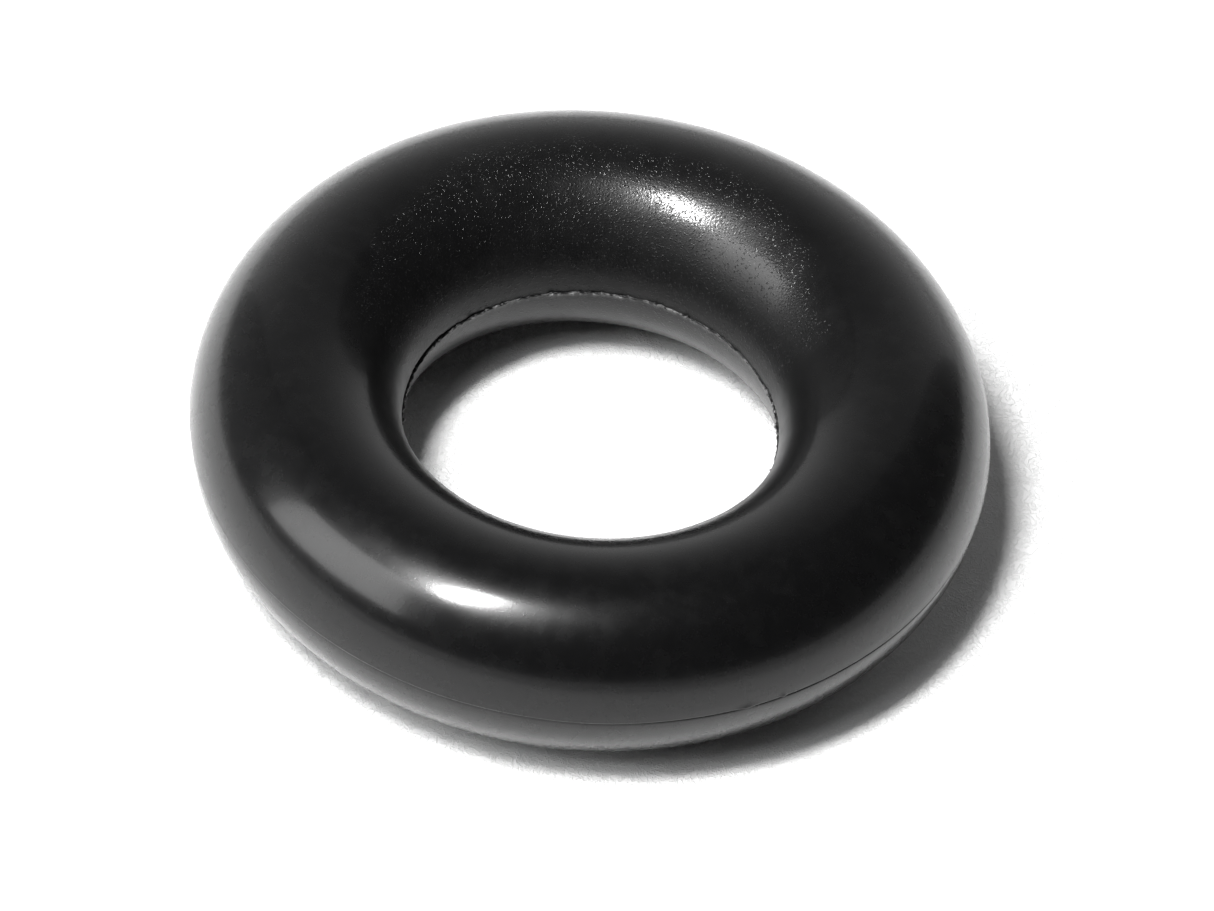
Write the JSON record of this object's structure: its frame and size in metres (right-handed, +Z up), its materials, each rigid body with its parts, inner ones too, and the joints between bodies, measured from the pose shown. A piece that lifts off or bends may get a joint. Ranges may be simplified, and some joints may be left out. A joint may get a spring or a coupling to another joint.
{
  "type": "ring insulator",
  "caption": "Solid moulded ring insulator for electric fence wire: a round section bent into a circle, with an open eye through which the wire or its tie passes.",
  "frame": {"origin": "on the ring's axis, in the plane that the ring rests on when it lies flat", "axes": "+Z up, along the axis of the eye; +X and +Y in the plane of the ring, which is the same all round"},
  "size_m": [0.0544, 0.0544, 0.0143],
  "materials": {
    "ring_plastic": "glossy black moulded plastic"
  },
  "bodies": {
    "root": {"ring": "ring_plastic"}
  },
  "joints": []
}
